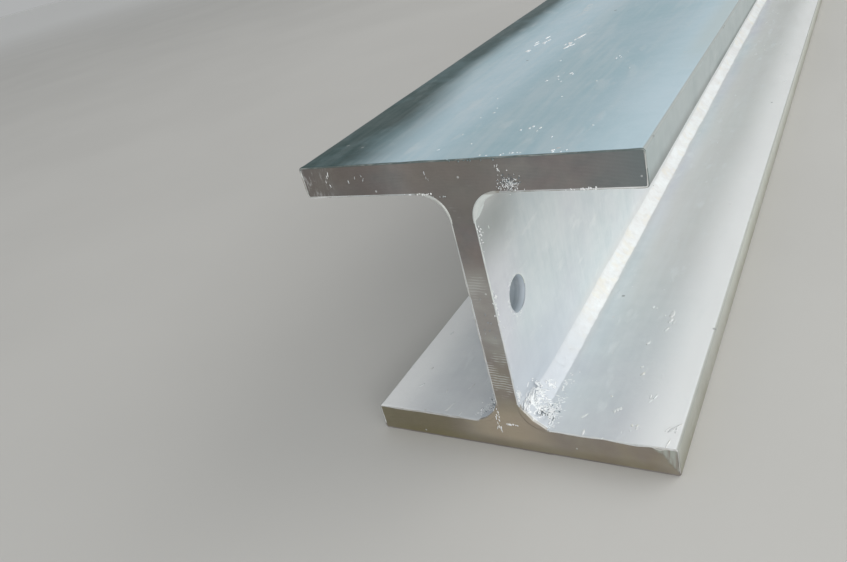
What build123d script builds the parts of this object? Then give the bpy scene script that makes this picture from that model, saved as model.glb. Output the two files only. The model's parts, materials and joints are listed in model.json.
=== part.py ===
from build123d import *
import os

# Wide-flange steel beam, rolled in one piece and cut square at both ends.
# Millimetres. Z is up. The beam lies along Y on its bottom flange, and the
# origin is the middle of its length on the underside of that flange.

# Rolled section
flange_width = 200.0
section_depth = 196.0
flange_thickness = 20.0
web_thickness = 16.0
root_radius = 15.0
toe_radius = 2.0

# Cut piece
beam_length = 3000.0

# Drilled hole through the web near each end, for a 20 mm bolt or a hanging hook
hole_diameter = 22.0
hole_end_distance = 30.0
hole_edge_break = 0.6

# Places that follow from the sizes
web_face_x = web_thickness / 2
mid_depth_z = section_depth / 2
bottom_flange_z = flange_thickness / 2
top_flange_z = section_depth - flange_thickness / 2
clear_depth = section_depth - 2 * flange_thickness
end_y = beam_length / 2
hole_y = end_y - hole_end_distance

# How near a corner lies to a web face to count as one of its roots
same_place = 1e-6


def rolled_profile():
    """Section in the XZ plane: two flanges with rounded toes, and a web that meets them in root fillets."""
    with BuildSketch(Plane.XZ) as profile:
        with Locations((0, bottom_flange_z), (0, top_flange_z)):
            Rectangle(flange_width, flange_thickness)
        fillet(profile.vertices(), toe_radius)
        with Locations((0, mid_depth_z)):
            Rectangle(web_thickness, clear_depth)
        roots = [corner for corner in profile.vertices() if abs(abs(corner.X) - web_face_x) < same_place]
        fillet(roots, root_radius)
    return profile.sketch


def rolled_stock():
    """The profile run along the whole length, half to each side of the origin."""
    return extrude(rolled_profile(), amount=end_y, both=True)


def web_drill():
    """The web hole's solid about the X axis: a round hole whose edge is broken at both web faces."""
    hole_radius = hole_diameter / 2
    mouth_radius = hole_radius + hole_edge_break
    straight_x = web_face_x - hole_edge_break
    with BuildPart() as drill:
        with BuildSketch(Plane.XY):
            with BuildLine():
                Polyline(
                    (-web_face_x, 0),
                    (-web_face_x, mouth_radius),
                    (-straight_x, hole_radius),
                    (straight_x, hole_radius),
                    (web_face_x, mouth_radius),
                    (web_face_x, 0),
                    close=True,
                )
            make_face()
        revolve(axis=Axis.X)
    return drill.part


h_beam = rolled_stock()
for y in (-hole_y, hole_y):
    h_beam -= web_drill().moved(Location((0, y, mid_depth_z)))

os.makedirs("parts", exist_ok=True)
export_step(h_beam, "parts/h_beam.step")
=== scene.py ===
import itertools
import json
import math
from types import SimpleNamespace

import bmesh
import bpy
import numpy as np
from bpy.props import FloatProperty, FloatVectorProperty, IntProperty, PointerProperty
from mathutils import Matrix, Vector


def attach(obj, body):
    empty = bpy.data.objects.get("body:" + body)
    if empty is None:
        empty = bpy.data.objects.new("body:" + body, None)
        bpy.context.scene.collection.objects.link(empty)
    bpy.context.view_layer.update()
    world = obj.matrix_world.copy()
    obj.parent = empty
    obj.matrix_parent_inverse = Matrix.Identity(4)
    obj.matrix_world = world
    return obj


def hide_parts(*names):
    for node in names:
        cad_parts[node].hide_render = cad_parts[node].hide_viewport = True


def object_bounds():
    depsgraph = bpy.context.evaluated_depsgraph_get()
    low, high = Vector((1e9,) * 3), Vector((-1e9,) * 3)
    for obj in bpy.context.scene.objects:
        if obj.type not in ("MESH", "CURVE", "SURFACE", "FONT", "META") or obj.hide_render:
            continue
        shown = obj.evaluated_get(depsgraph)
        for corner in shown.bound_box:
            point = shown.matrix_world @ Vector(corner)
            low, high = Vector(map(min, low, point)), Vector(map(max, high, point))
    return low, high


bl_info = {
    "name": "Galvanised steel beam",
    "version": (1, 0, 0),
    "blender": (4, 5, 0),
    "location": "3D View > Sidebar > Beam",
    "description": "Gives the rolled beam its zinc coat, sawn ends, zinc runs and crust, and sets its stage",
    "category": "Object",
}

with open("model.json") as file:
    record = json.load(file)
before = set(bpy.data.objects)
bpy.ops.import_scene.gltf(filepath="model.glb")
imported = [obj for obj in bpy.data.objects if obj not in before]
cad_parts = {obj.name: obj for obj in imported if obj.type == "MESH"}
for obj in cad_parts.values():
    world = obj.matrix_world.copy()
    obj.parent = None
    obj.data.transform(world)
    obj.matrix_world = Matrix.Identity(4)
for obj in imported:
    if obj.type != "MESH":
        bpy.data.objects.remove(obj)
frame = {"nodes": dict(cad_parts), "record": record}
cad_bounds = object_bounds()

MM = 0.001
NODE = "h_beam"
BODY = "root"
QUARTER = math.pi / 2


# Arrays and noise

def rows(*parts):
    """Arrays and single numbers side by side, as rows of points."""
    return np.stack(np.broadcast_arrays(*parts), axis=-1)


def turns(count):
    """Even angles all the way round, without the last one that would repeat the first."""
    return np.linspace(0, 2 * math.pi, count + 1)[:-1]


def supported(start, end, steps, guard):
    """Places from start to end: even steps between a first and a last one that are only guard long."""
    toward = math.copysign(guard, end - start)
    return np.r_[start, np.linspace(start + toward, end - toward, steps - 1), end]


def stretches(stops, steps):
    """Places from the first stop to the last, with that many even steps between neighbouring stops."""
    spans = [np.linspace(start, stop, count + 1)[:-1] for start, stop, count in zip(stops, stops[1:], steps)]
    return np.r_[np.concatenate(spans), stops[-1]]


def smooth_step(low, high, value):
    """0 below low, 1 above high, and an S curve between."""
    t = np.clip((value - low) / (high - low), 0, 1)
    return t * t * (3 - 2 * t)


CELL_KEYS = (73856093, 19349663, 83492791)
SEED_KEY, MIX_KEY, MIX_SHIFT = 9973, 1274126177, 13
KEY_MASK = 0x7FFFFFFF


def lattice_noise(points, cell, seed):
    """Smooth noise from -1 to 1. Random values sit on a lattice of cubes of that cell size, and a point's
    value is the eight round it, mixed by the eased distance along each axis."""
    scaled = points / cell + 0.37 * (seed + 1)
    low = np.floor(scaled).astype(np.int64)
    ease = smooth_step(0, 1, scaled - low)
    total = np.zeros(points.shape[:-1])
    for corner in itertools.product((0, 1), repeat=3):
        key = np.bitwise_xor.reduce((low + corner) * CELL_KEYS, axis=-1) ^ (seed * SEED_KEY)
        key = ((key ^ (key >> MIX_SHIFT)) * MIX_KEY) & KEY_MASK
        total += np.prod(np.where(corner, ease, 1 - ease), axis=-1) * (key / (KEY_MASK // 2) - 1)
    return total


def waves(points, seed, swings):
    """Noise of several sizes: each swing's height times the noise of its cell size, all summed up."""
    return sum(height * lattice_noise(points, cell, seed + number)
               for number, (height, cell) in enumerate(swings))


def waves_along(places, seed, swings):
    """The same along a line."""
    return waves(rows(places, 0, 0), seed, swings)


# Meshes from grids

def grid_faces(height, width, wrap_rows=False, wrap_columns=False):
    """Corner numbers of the quads on a height by width grid of points, which may close either way."""
    row, column = np.ix_(np.arange(height - (not wrap_rows)), np.arange(width - (not wrap_columns)))
    here, there = row * width, (row + 1) % height * width
    across = (column + 1) % width
    return np.stack([here + column, here + across, there + across, there + column], axis=-1)


def mesh_array(mesh, field):
    """A mesh's vertex field, co or normal, as an array of rows."""
    values = np.empty(len(mesh.vertices) * 3, np.float32)
    mesh.vertices.foreach_get(field, values)
    return values.reshape(-1, 3).astype(float)


def set_points(mesh, points):
    mesh.vertices.foreach_set("co", points.astype(np.float32).ravel())
    mesh.update()


class Patches:
    """Grids of points collected into one mesh."""

    def __init__(self):
        self.points, self.faces, self.slots, self.count = [], [], [], 0

    def collect(self, points, faces, slot):
        self.points.append(points.reshape(-1, 3))
        self.faces.append(faces.reshape(-1, 4) + self.count)
        self.slots.append(np.full(len(self.faces[-1]), slot))
        self.count += len(self.points[-1])

    def add(self, points, slot=0, keep=..., wrap_rows=False, wrap_columns=True):
        """Adds a grid of points, whose faces are those that keep marks, or all."""
        self.collect(points, grid_faces(*points.shape[:2], wrap_rows, wrap_columns)[keep], slot)

    def add_many(self, points, faces, slot=0):
        """Adds many copies of one small shape: points of each copy, and the faces of one."""
        starts = points.shape[1] * np.arange(len(points))
        self.collect(points, faces + starts[:, None, None], slot)

    def mesh(self, weld=0.0, boxed=False):
        """The collected grids as a mesh with smooth faces that point outwards. Points nearer than weld
        merge, and where boxed, those that stand out of the CAD beam's box are drawn back to it."""
        mesh = bpy.data.meshes.new("piece")
        mesh.from_pydata(np.concatenate(self.points).tolist(), [], np.concatenate(self.faces).tolist())
        mesh.polygons.foreach_set("material_index", np.concatenate(self.slots).astype(np.int32))
        work = bmesh.new()
        work.from_mesh(mesh)
        if weld:
            bmesh.ops.remove_doubles(work, verts=work.verts, dist=weld)
            bmesh.ops.dissolve_degenerate(work, edges=work.edges, dist=weld / 10)
        bmesh.ops.recalc_face_normals(work, faces=work.faces)
        work.to_mesh(mesh)
        work.free()
        mesh.polygons.foreach_set("use_smooth", np.ones(len(mesh.polygons), bool))
        if boxed:
            set_points(mesh, np.clip(mesh_array(mesh, "co"), *np.array(cad_bounds)))
        return mesh


def place_piece(name, mesh, *materials):
    """Adds the mesh as a piece that rides on the beam's body, with the named materials."""
    mesh.name = name
    piece = bpy.data.objects.new(name, mesh)
    bpy.context.scene.collection.objects.link(piece)
    for material in materials:
        mesh.materials.append(get_material(material, bpy.context.scene.beam_coat))
    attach(piece, BODY)
    return piece


# Sizes read from the frame

def read_beam():
    """The rolled section and its web holes in metres, as the CAD beam and its mounts give them."""
    same_place = 0.01 * MM
    points = mesh_array(frame["nodes"][NODE].data, "co")
    mounts = {mount["name"]: mount for mount in frame["record"]["mounts"]}
    holes = mounts["web_holes"]
    web_half = mounts["web_right"]["pos_m"][0]
    half_width, half_length, depth = points.max(axis=0)
    lower = points[points[:, 2] < depth / 2]
    across = np.abs(lower[:, 0])
    toe_side = across > 0.9 * half_width
    flange = lower[toe_side, 2].max()
    on_inner_face = toe_side & (np.abs(lower[:, 2] - flange) < same_place)
    on_web = np.abs(across - web_half) < same_place
    sizes = {
        "half_width": half_width,
        "half_length": half_length,
        "depth": depth,
        "middle": depth / 2,
        "web_half": web_half,
        "flange": flange,
        "toe": half_width - across[on_inner_face].max(),
        "root": lower[on_web, 2].min() - flange,
        "hole_radius": holes["dims"]["hole_r_mm"] * MM,
        "hole_inset": half_length - holes["dims"]["spacing_x_mm"] * MM / 2,
        "hole_height": holes["pos_m"][2],
    }
    return SimpleNamespace(**{name: float(size) for name, size in sizes.items()})


beam = read_beam()


# The section's outline, as rows of x, z and the normal out of the steel, about the section's middle

TOE_STEPS, FLAT_STEPS, ROOT_STEPS, TIP_STEPS, WEB_STEPS = 4, 15, 8, 4, 9
FLAT_GUARD, WEB_GUARD = 0.8 * MM, 1.5 * MM
HOLE_WINDOW, WINDOW_STEPS = 20 * MM, 16
WEB_SHARES = np.linspace(1, -1, 5)
FLIP_X, FLIP_Z = np.array([-1, 1, -1, 1]), np.array([1, -1, 1, -1])


def half_flange():
    """Right half of the top flange from its tip to the web: its outer and inner edge, with circular arcs
    for the toes and the root."""
    toe = np.linspace(QUARTER, 0, TOE_STEPS + 1)
    root = np.linspace(0, QUARTER, ROOT_STEPS + 1)[1:]
    flat_x = supported(beam.half_width - beam.toe, beam.web_half + beam.root, FLAT_STEPS, FLAT_GUARD)[1:]
    flat, arc = 0 * flat_x, 0 * root
    toe_x = beam.half_width - beam.toe * (1 - np.sin(toe))
    x = np.r_[toe_x, flat_x, beam.web_half + beam.root * (1 - np.sin(root))]
    toe_drop = beam.toe * (1 - np.cos(toe))
    outer_z = beam.middle - np.r_[toe_drop, flat, arc]
    inner_z = beam.middle - beam.flange + np.r_[toe_drop, flat, beam.root * (np.cos(root) - 1)]
    outer = x, outer_z, np.r_[np.sin(toe), flat, arc], np.r_[np.cos(toe), flat + 1, arc + 1]
    inner = x, inner_z, np.r_[np.sin(toe), flat, np.sin(root)], -np.r_[np.cos(toe), flat + 1, np.cos(root)]
    return rows(*outer), rows(*inner)


def flange_edges(inset):
    """Outer and inner edge of the whole top flange from right to left, drawn in by inset along the normals.
    Between the web's faces the inner edge is the straight line where the flange passes into the web."""
    edges = [line[:, :2] - line[:, 2:] * inset for line in half_flange()]
    middles = [rows(WEB_SHARES[1:-1] * edge[-1, 0], edge[-1, 1]) for edge in edges]
    return [np.r_[edge, middle, edge[::-1] * [-1, 1]] for edge, middle in zip(edges, middles)]


def web_heights():
    """Heights on the web from the top root to the bottom one. The hole's window has finer steps."""
    upper = supported(beam.middle - beam.flange - beam.root, HOLE_WINDOW, WEB_STEPS, WEB_GUARD)
    return np.r_[upper[:-1], np.linspace(HOLE_WINDOW, -HOLE_WINDOW, WINDOW_STEPS + 1), -upper[::-1][1:]]


def outline():
    """The closed outline, clockwise from the top flange's right toe seen from the near end, and the
    stretches of it that the hole's windows take up on the web's left and right face."""
    outer, inner = half_flange()
    top = np.r_[outer, rows(WEB_SHARES[1:-1] * beam.web_half, beam.middle, 0, 1), outer[::-1] * FLIP_X]
    tip = rows(-beam.half_width, np.linspace(outer[0, 1], inner[0, 1], TIP_STEPS + 1)[1:-1], -1, 0)
    web = rows(-beam.web_half, web_heights()[1:-1], -1, 0)
    upper_left = np.r_[tip, inner * FLIP_X]
    left = np.r_[upper_left, web, upper_left[::-1] * FLIP_Z]
    whole = np.r_[top, left, top[::-1] * FLIP_Z, left[::-1] * FLIP_X]
    first = len(top) + len(upper_left) - 1 + (len(web) + 1 - WINDOW_STEPS) // 2
    mirrored = len(whole) + len(top) - 1 - first - WINDOW_STEPS
    return whole, [slice(start, start + WINDOW_STEPS) for start in (first, mirrored)]


def upright(flat, y):
    """Points of the section set at the places y along the beam."""
    return rows(flat[..., 0], y, flat[..., 1] + beam.middle)


# The beam's skin

ARRIS, ARRIS_STEPS = 1.2 * MM, 4
HOLE_BREAK, BREAK_STEPS = 0.8 * MM, 4
HOLE_ROW_STEPS = 20
FINE_REACHES = (150 * MM, 500 * MM)
NEAR_STEPS = (5, HOLE_ROW_STEPS, 30, 48, 44)
FAR_STEPS = (5, HOLE_ROW_STEPS, 24, 32, 36)
FACE_SHARES = np.array([0.0, 0.2, 0.4, 0.6, 0.8, 0.97])[:, None, None]
BORE_SHARES = np.array([0.75, 0.5, 0.25])

# Stretch, cell and seed of the coat's slow waves, ripples and lumps, where beside the arris the lumps lie,
# how the relief fades out over the floor, and where across a root the fillet's share fades
COAT_NOISES = (((1, 0.5, 1), 45 * MM, 3), ((1, 0.6, 1), 11 * MM, 5), ((1, 1, 1), 7 * MM, 8))
SLOW_SHARE, RIPPLE_SHARE, LUMP_RAISE = 0.7, 0.3, 0.2
LIP_RISE, LIP_FALL = (0, 0.8 * MM), (2 * MM, 6 * MM)
FLOOR_REACH, FLOOR_SHARE = 4 * MM, 0.15
ROOT_FLANGE_EDGE, ROOT_WEB_EDGE = (0.5, 0.85), (0.4, 1.35)


def end_rows(steps):
    """Distance from the beam's end and inset of each row, from the end towards the middle of the beam, and
    the first row of the hole's window. The first rows follow the quarter circle of the rounded arris. steps
    gives the number of rows in each stretch."""
    turn = np.linspace(QUARTER, 0, ARRIS_STEPS + 1)
    window = (beam.hole_inset - HOLE_WINDOW, beam.hole_inset + HOLE_WINDOW)
    stops = (ARRIS, *window, *FINE_REACHES, beam.half_length)
    distance = np.r_[ARRIS * (1 - np.sin(turn)), stretches(stops, steps)[1:]]
    inset = np.r_[ARRIS * (1 - np.cos(turn)), np.zeros(len(distance) - len(turn))]
    return distance, inset, len(turn) + steps[0] - 1


def swept_faces(patches):
    """The outline carried along the beam: point = outline point minus normal times the row's inset, at the
    row's place. The faces in each hole's window are left out."""
    whole, windows = outline()
    near, near_inset, near_window = end_rows(NEAR_STEPS)
    far, far_inset, far_window = end_rows(FAR_STEPS)
    along = np.r_[near - beam.half_length, beam.half_length - far[::-1][1:]]
    inset = np.r_[near_inset, far_inset[::-1][1:]]
    keep = np.ones((len(along) - 1, len(whole)), bool)
    for first in (near_window, len(along) - 1 - far_window - HOLE_ROW_STEPS):
        for window in windows:
            keep[first:first + HOLE_ROW_STEPS, window] = False
    flat = whole[:, :2] - whole[:, 2:] * inset[:, None, None]
    patches.add(upright(flat, along[:, None]), keep=keep)


def end_face(patches, y):
    """The sawn face at y, as three grids between opposite edges of the outline: a flange's points lie on
    straight lines from its inner to its outer edge, the web's on lines from face to face."""
    outer, inner = flange_edges(ARRIS)
    flange = inner + (outer - inner) * np.linspace(0, 1, TIP_STEPS + 1)[:, None, None]
    web = np.stack(np.meshgrid(WEB_SHARES * (beam.web_half - ARRIS), web_heights()), axis=-1)
    for flat in (flange, flange * [1, -1], web):
        patches.add(upright(flat, y), slot=1, wrap_columns=False)


def hole_sleeve(patches, y):
    """The web hole at y, between the square windows in the web's faces. Rings pass from a window's edge to
    the circle, round the broken edge in a quarter circle, and through the web."""
    along = np.linspace(-HOLE_WINDOW, HOLE_WINDOW, HOLE_ROW_STEPS + 1)
    up = np.linspace(-HOLE_WINDOW, HOLE_WINDOW, WINDOW_STEPS + 1)
    edge = np.r_[rows(along[:-1], up[0]), rows(along[-1], up[:-1]), rows(along[:0:-1], up[-1]),
                 rows(along[0], up[:0:-1])]
    circle = edge / np.linalg.norm(edge, axis=1)[:, None]
    turn = np.linspace(0, QUARTER, BREAK_STEPS + 1)
    flat = edge * (1 - FACE_SHARES) + circle * (beam.hole_radius + HOLE_BREAK) * FACE_SHARES
    radii = beam.hole_radius + HOLE_BREAK * np.r_[1 - np.sin(turn), 0 * BORE_SHARES]
    half_rings = np.concatenate([flat, circle * radii[:, None, None]])
    inner_x = beam.web_half - HOLE_BREAK
    half_x = np.r_[[beam.web_half] * len(flat), inner_x + HOLE_BREAK * np.cos(turn), inner_x * BORE_SHARES]
    rings = np.concatenate([half_rings, circle[None] * beam.hole_radius, half_rings[::-1]])
    x = np.r_[half_x, 0, -half_x[::-1]]
    patches.add(rows(x[:, None], rings[..., 0] + y, rings[..., 1] + beam.hole_height))


def coat_relief(points, normals, coat):
    """How far the zinc stands under the steel's nominal face: slow waves, finer ripples, lumps that follow
    the arris at each end, and a deeper level on the sawn faces. The underside keeps to the floor."""
    from_end = beam.half_length - np.abs(points[:, 1])
    slow, ripple, lumpy = (lattice_noise(points * stretch, cell, seed) for stretch, cell, seed in COAT_NOISES)
    lip = smooth_step(*LIP_RISE, from_end) * (1 - smooth_step(*LIP_FALL, from_end))
    lip = lip * np.clip(lumpy + LUMP_RAISE, 0, 1)
    level = -coat.slack + coat.wave * (SLOW_SHARE * slow + RIPPLE_SHARE * ripple) + coat.lip * lip
    above_floor = FLOOR_SHARE + (1 - FLOOR_SHARE) * smooth_step(0, FLOOR_REACH, points[:, 2])
    return np.minimum(level, 0) * above_floor - coat.end_recess * normals[:, 1] ** 2


def root_share(points):
    """1 on a root fillet and 0 off it, with a sharp edge on the flange and a soft one on the web."""
    across = (np.abs(points[:, 0]) - beam.web_half) / beam.root
    height = (beam.middle - beam.flange - np.abs(points[:, 2] - beam.middle)) / beam.root
    return (1 - smooth_step(*ROOT_FLANGE_EDGE, across)) * (1 - smooth_step(*ROOT_WEB_EDGE, np.abs(height)))


def make_skin_mesh(coat):
    """The swept outline, both sawn faces and both holes as one closed skin, moved along its normals by the
    coat's relief. Its attribute root marks the root fillets for the material."""
    patches = Patches()
    swept_faces(patches)
    for side in (-1, 1):
        end_face(patches, side * beam.half_length)
        hole_sleeve(patches, side * (beam.half_length - beam.hole_inset))
    mesh = patches.mesh(weld=0.02 * MM)
    points, normals = mesh_array(mesh, "co"), mesh_array(mesh, "normal")
    attribute = mesh.attributes.new("root", "FLOAT", "POINT")
    attribute.data.foreach_set("value", root_share(points).astype(np.float32))
    set_points(mesh, points + normals * coat_relief(points, normals, coat)[:, None])
    return mesh


# Beads of zinc on the sawn ends and round the holes

LIP_PITCH = 1.3 * MM
# Swings of the bead's radius and of its line, bounds and mean of the radius, and how the favoured places
# and the swings change it, all as shares of the lip's radius
LIP_SWINGS, LIP_WANDER = ((0.55, 23 * MM), (0.45, 5 * MM)), ((0.35, 9 * MM),)
LIP_LEAST, LIP_MEAN, LIP_MOST = 0.15, 0.5, 1.25
FAVOUR_HEIGHT, SWELL_HEIGHT = 0.35, 0.8
TOP_FAVOUR, ROOT_FAVOUR = -0.6, -1.2
LIP_SINK = 1.35
BEAD_SIDES = 8
# Start, stop and droop of each strand
SAGS_MM = ((54, 97.5, 1.5), (28, 62, 0.9), (84, 98, 3.2), (-96, -58, 1.2), (-60, -30, 0.8))
SAG_STEPS = 48
SAG_WELD = 0.005 * MM
SAG_SWINGS, SAG_DROP, SAG_THICKNESS, SAG_TAPER = ((0.5, 8 * MM),), 0.7 * MM, 0.75, 0.6
HOLE_LIP_STEPS, HOLE_LIP_CELL, HOLE_LIP_SEED = 72, 5 * MM, 50
# How far the bead's middle lies inside the web's face and outside the hole
HOLE_LIP_DEEP, HOLE_LIP_OUT = 0.55 * MM, 0.75 * MM


def resampled_outline(pitch):
    """Places at even steps of about pitch along the outline, with its points and unit normals there, by
    linear steps between its own points."""
    whole, _ = outline()
    closed = np.r_[whole, whole[:1]]
    run = np.r_[0, np.cumsum(np.linalg.norm(np.diff(closed[:, :2], axis=0), axis=1))]
    places = np.linspace(0, run[-1], int(run[-1] / pitch), endpoint=False)
    values = np.stack([np.interp(places, run, column) for column in closed.T], axis=1)
    return places, values[:, :2], values[:, 2:] / np.linalg.norm(values[:, 2:], axis=1)[:, None]


def add_bead(patches, centres, first, second, radius, closed=True):
    """A tube round a line: line's point plus the radius there times (cos first + sin second)."""
    first, second = (np.broadcast_to(way, centres.shape)[:, None] for way in (first, second))
    turn = turns(BEAD_SIDES)[:, None]
    patches.add(centres[:, None] + radius[:, None, None] * (first * np.cos(turn) + second * np.sin(turn)),
                wrap_rows=closed)


def make_end_lip_mesh(end, coat, seed):
    """A bead carried along the outline just inside the arris of one end. Its radius swells and shrinks with
    noise along the outline, so that it stands out of the skin in places and sinks into it in others. It is
    fullest on the bottom flange's upper edges and thinnest on the top flange and over the bottom roots."""
    places, points, normals = resampled_outline(LIP_PITCH)
    swell = waves_along(places, seed, LIP_SWINGS)
    low = (points[:, 1] < beam.flange + beam.root - beam.middle) & (normals[:, 1] > 0)
    favoured = smooth_step(0.2, 0.8, normals[:, 1])
    favoured[points[:, 1] > beam.middle - beam.flange - 1 * MM] = TOP_FAVOUR
    favoured[low & (np.abs(points[:, 0]) < beam.web_half + beam.root)] = ROOT_FAVOUR
    fullness = LIP_MEAN + FAVOUR_HEIGHT * favoured + SWELL_HEIGHT * swell
    radius = coat.lip_radius * np.clip(fullness, LIP_LEAST, LIP_MOST)
    sunk = LIP_SINK * coat.lip_radius
    wander = coat.lip_radius * waves_along(places, seed + 2, LIP_WANDER)
    centres = upright(points - normals * (sunk + wander)[:, None], end * (beam.half_length - sunk))
    patches = Patches()
    add_bead(patches, centres, rows(normals[:, 0], 0, normals[:, 1]), (0, 1, 0), radius)
    return patches.mesh(boxed=True)


def make_sag_mesh(end, coat, seed):
    """Strands of zinc that sagged over a bottom flange's upper edge on a sawn face. Each spans from one x
    to the other, hangs down as a wavy line to its droop, and tapers off at both ends."""
    patches = Patches()
    arch = np.sin(math.pi * np.linspace(0, 1, SAG_STEPS))
    for number, (start, stop, droop) in enumerate(SAGS_MM):
        x = np.linspace(start, stop, SAG_STEPS) * MM
        sway = 0.5 + waves_along(x, seed + number, SAG_SWINGS)
        z = beam.flange - SAG_DROP - droop * MM * sway * arch
        radius = coat.lip_radius * SAG_THICKNESS * arch ** SAG_TAPER * (0.6 + 0.5 * sway)
        centres = rows(x, end * (beam.half_length - coat.slack - coat.end_recess), z)
        add_bead(patches, centres, (0, 0, 1), (0, 1, 0), radius, closed=False)
    return patches.mesh(weld=SAG_WELD)


def make_hole_lip_mesh(coat):
    """A broken bead round each mouth of each web hole."""
    patches = Patches()
    turn = turns(HOLE_LIP_STEPS)
    radial = rows(0, np.cos(turn), np.sin(turn))
    for seed, (y, side) in enumerate(itertools.product((-1, 1), repeat=2), HOLE_LIP_SEED):
        hole_y = y * (beam.half_length - beam.hole_inset)
        middle = (side * (beam.web_half - HOLE_LIP_DEEP), hole_y, beam.hole_height)
        swell = lattice_noise(radial * beam.hole_radius, HOLE_LIP_CELL, seed) + 0.3 * np.cos(turn + 0.6)
        radius = coat.lip_radius * np.clip(0.55 + 0.6 * swell, 0.12, 1)
        add_bead(patches, middle + radial * (beam.hole_radius + HOLE_LIP_OUT), radial, (1, 0, 0), radius)
    return patches.mesh()


# Zinc that ran and pooled in the roots

ROOT_WELD = 0.001 * MM
# Stretches along the beam, the edges on the web's and the flange's side of the root, how far a full fill
# moves them, and the swings of each edge and of the height
RUN_REACHES = (80 * MM, 700 * MM)
RUN_STEPS = (83, 329, 239, 83)
RUN_ACROSS_STEPS = 19
RUN_EDGES = (3.4 * MM, 19.0 * MM)
RUN_WIDENS = (7 * MM, 2.3 * MM)
RUN_START_SWINGS, RUN_STOP_SWINGS = ((0.8 * MM, 35 * MM),), ((0.6 * MM, 17 * MM), (0.45 * MM, 5 * MM))
RUN_HEIGHT_SWINGS, RUN_RIPPLES = ((0.3, 50 * MM),), ((0.24, 3.6 * MM), (0.144, 1.7 * MM))
# Where across the run its height rises and falls, and how long its tips are
RUN_RISE, RUN_FALL, RUN_TIP = (-0.05, 0.5), (0.68, 1.05), 4 * MM
RIPPLE_SPAN = 16 * MM
# How far a run's and a fill's thin edges sink under the skin, and how deep both are closed behind
RUN_SINK, FILL_SINK = 0.2 * MM, 0.35 * MM
RUN_DEPTH, FILL_DEPTH = -1.2 * MM, -1.5 * MM
FILL_REACH, FILL_STEPS, FILL_ACROSS_STEPS, FRONT_STEPS = 34 * MM, 36, 25, 4
FILL_OVERLAP, FILL_CROWDING = 0.12, 1.7
FILL_FADE, FILL_RIPPLES = 10 * MM, ((0.2, 4 * MM),)


def root_path(places):
    """Points and normals across a bottom right root. places is measured along the steel from the start of
    the fillet's arc: under 0 it is on the web, and past the arc's length on the flange."""
    angle = np.clip(places / beam.root, 0, QUARTER)
    normals = rows(np.cos(angle), np.sin(angle))
    points = np.array([beam.web_half, beam.flange]) + beam.root * (1 - normals)
    points[..., 1] += np.maximum(-places, 0)
    points[..., 0] += np.maximum(places - beam.root * QUARTER, 0)
    return points, normals


def root_grid(places, depth, under, y, side, above=False):
    """Points that stand depth off a root at places across it, closed behind by points sunk to under."""
    points, normals = (np.concatenate([part, part[:, ::-1]], axis=1) for part in root_path(places))
    depth = np.concatenate([depth, np.full_like(depth, under)], axis=1)
    flat = points + normals * depth[..., None]
    return rows(side * flat[..., 0], y, beam.depth - flat[..., 1] if above else flat[..., 1])


def make_run_mesh(coat, side, seed, near_fill, far_fill):
    """Zinc that ran together in a bottom root. Both edges and the height wander along the beam with noise,
    and it swells and widens near each end by the fill given, as exp(-(distance/reach)^2). Across the root
    its thickness rises softly on the web's side and drops steeply on the flange's, with ripples from noise.
    It sinks under the skin at its edges and tapers to nothing, in a quarter circle, at both ends."""
    half = beam.half_length
    first = coat.slack + coat.end_recess + 0.1 * MM
    stops = (first - half, *(reach - half for reach in RUN_REACHES), half - RUN_REACHES[0], half - first)
    along = stretches(stops, RUN_STEPS)
    near = np.exp(-(((along + half) / coat.fill_reach) ** 2))
    far = np.exp(-(((half - along) / coat.fill_reach) ** 2))
    fill = near_fill * near + far_fill * far
    widen = fill / coat.end_fill
    start = RUN_EDGES[0] - RUN_WIDENS[0] * widen + waves_along(along, seed, RUN_START_SWINGS)
    stop = RUN_EDGES[1] - RUN_WIDENS[1] * widen + waves_along(along, seed + 1, RUN_STOP_SWINGS)
    height = coat.run_height * (1 + waves_along(along, seed + 3, RUN_HEIGHT_SWINGS)) + fill
    start, stop, height, y = (part[:, None] for part in (start, stop, height, along))
    share = np.linspace(0, 1, RUN_ACROSS_STEPS)
    hump = smooth_step(*RUN_RISE, share) * (1 - smooth_step(*RUN_FALL, share))
    ripple = waves(rows(share * RIPPLE_SPAN, y, 0), seed + 4, RUN_RIPPLES)
    depth = height * hump * (1 + ripple) - coat.slack - RUN_SINK * (1 - hump)
    from_tip = np.clip(np.minimum(y - y[0], y[-1] - y) / RUN_TIP, 0, 1)
    depth = RUN_DEPTH + (depth - RUN_DEPTH) * np.sqrt(1 - (1 - from_tip) ** 2)
    patches = Patches()
    patches.add(root_grid(start + (stop - start) * share, depth, RUN_DEPTH, y, side))
    return patches.mesh(weld=ROOT_WELD)


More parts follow.
